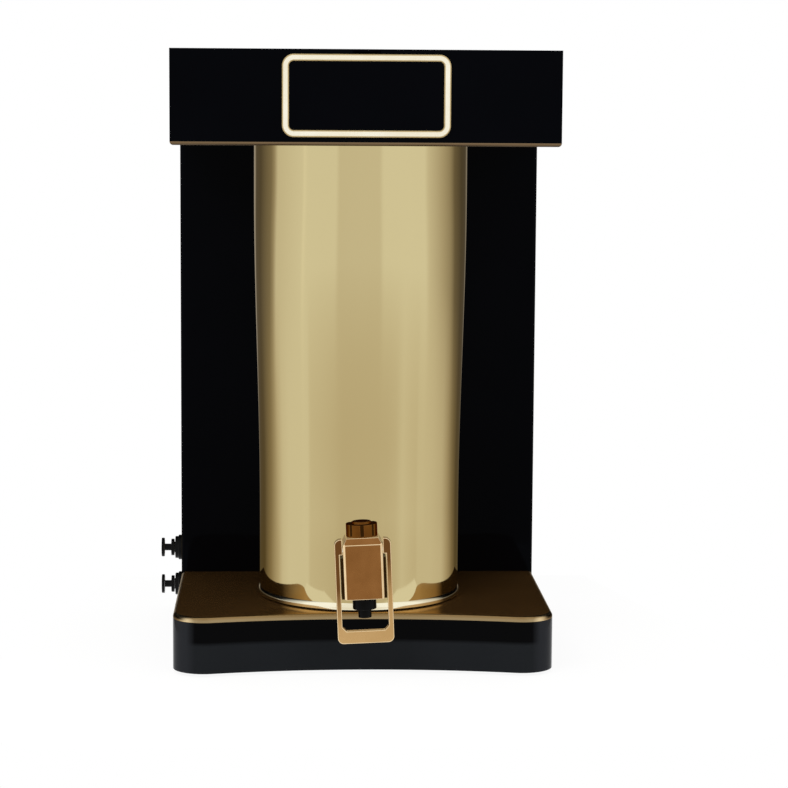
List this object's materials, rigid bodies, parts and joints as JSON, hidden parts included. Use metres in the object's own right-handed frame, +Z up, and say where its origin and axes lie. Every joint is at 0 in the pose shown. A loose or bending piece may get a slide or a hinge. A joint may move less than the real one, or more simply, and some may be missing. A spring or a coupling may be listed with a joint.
{
  "type": "reverse osmosis water purifier",
  "caption": "Counter-top reverse osmosis water purifier: black cabinet and head on a copper-decked base, with a gold mirror tank, a bail tap and side tube fittings.",
  "frame": {"origin": "middle of the base and cabinet footprint, on the table under the feet", "axes": "+Z up, the tap and badge face -Y, +X to the right seen from the front"},
  "size_m": [0.3455, 0.3388, 0.5275],
  "materials": {
    "gloss_black": "high gloss",
    "satin_black": "satin",
    "copper_plate": "polished copper tone",
    "gold_mirror": "mirror polished gold tone",
    "pale_gold": "satin gold tone",
    "rose_gold": "polished rose gold plating",
    "black_plastic": "gloss",
    "black_rubber": "matte",
    "white_plastic": "matte",
    "plain_steel": "plain",
    "circuit_board": "matte",
    "lamp_glass": "clear"
  },
  "bodies": {
    "case": {"base_shell": "gloss_black", "cabinet_shell": "gloss_black", "head_shell": "gloss_black", "badge_plate": "gloss_black", "base_floor": "satin_black", "cabinet_floor": "satin_black", "back_cover": "satin_black", "power_supply": "satin_black", "booster_pump": "satin_black", "base_deck": "copper_plate", "head_floor": "copper_plate", "tank_shell": "gold_mirror", "tank_foot_ring": "gold_mirror", "badge_frame": "pale_gold", "tap_body": "rose_gold", "tap_shank": "rose_gold", "tap_bonnet": "rose_gold", "tap_nozzle": "black_plastic", "tap_side_plates": "black_plastic", "inlet_union": "black_plastic", "inlet_locknut": "black_plastic", "drain_union": "black_plastic", "drain_locknut": "black_plastic", "feet": "black_rubber", "cord_grommet": "black_rubber", "tank_seat": "black_rubber", "tap_outer_washer": "black_rubber", "tap_inner_washer": "black_rubber", "stem_ring": "black_rubber", "pump_bracket": "black_rubber", "cartridge_clips": "white_plastic", "tank_lid": "white_plastic", "tank_gasket": "white_plastic", "float_stem": "white_plastic", "sediment_cartridge": "white_plastic", "carbon_cartridge": "white_plastic", "membrane_housing": "white_plastic", "mineral_cartridge": "white_plastic", "solenoid_valve": "white_plastic", "flow_restrictor": "white_plastic", "water_tubes": "white_plastic", "case_screws": "plain_steel", "back_cover_screws": "plain_steel", "chassis_plate": "plain_steel", "lid_hinge_pins": "plain_steel", "tap_nut": "plain_steel", "valve_spring": "plain_steel", "uv_chamber": "plain_steel", "control_board": "circuit_board", "uv_lamp": "lamp_glass"},
    "head_lid": {"head_lid": "gloss_black"},
    "bail": {"tap_bail": "rose_gold", "tap_lever": "plain_steel"},
    "valve": {"valve_stem": "plain_steel", "valve_seal": "black_rubber"},
    "float": {"float": "white_plastic"},
    "inlet_collet": {"inlet_collet": "black_plastic"},
    "inlet_plug": {"inlet_plug": "black_plastic"},
    "drain_collet": {"drain_collet": "black_plastic"},
    "drain_plug": {"drain_plug": "black_plastic"}
  },
  "joints": [
    {"name": "lid_hinge", "type": "hinge", "parent": "case", "child": "head_lid", "pos_m": [0, 0.1466, 0.5235], "axis": [-1, 0, 0], "range_deg": [0, 95]},
    {"name": "bail_swing", "type": "hinge", "parent": "case", "child": "bail", "pos_m": [-0.00229, -0.1747, 0.11398], "axis": [0.999, 0, 0.0436], "range_deg": [0, 15], "stiffness_Nm_per_rad": 0.4},
    {"name": "valve_lift", "type": "slide", "parent": "case", "child": "valve", "axis": [-0.0436, 0, 0.999], "range_m": [0, 0.0027], "deforming": ["valve_spring"]},
    {"name": "float_rise", "type": "slide", "parent": "case", "child": "float", "axis": [0, 0, 1], "range_m": [0, 0.014]},
    {"name": "inlet_collet_press", "type": "slide", "parent": "case", "child": "inlet_collet", "axis": [1, 0, 0], "range_m": [0, 0.0008], "stiffness_N_per_m": 500},
    {"name": "drain_collet_press", "type": "slide", "parent": "case", "child": "drain_collet", "axis": [1, 0, 0], "range_m": [0, 0.0008], "stiffness_N_per_m": 500},
    {"name": "inlet_plug_pull", "type": "slide", "parent": "case", "child": "inlet_plug", "axis": [-1, 0, 0], "range_m": [0, 0.025]},
    {"name": "drain_plug_pull", "type": "slide", "parent": "case", "child": "drain_plug", "axis": [-1, 0, 0], "range_m": [0, 0.025]}
  ],
  "couplings": [
    {"joint": "valve_lift", "follows": "bail_swing", "m_per_rad": 0.0103}
  ]
}
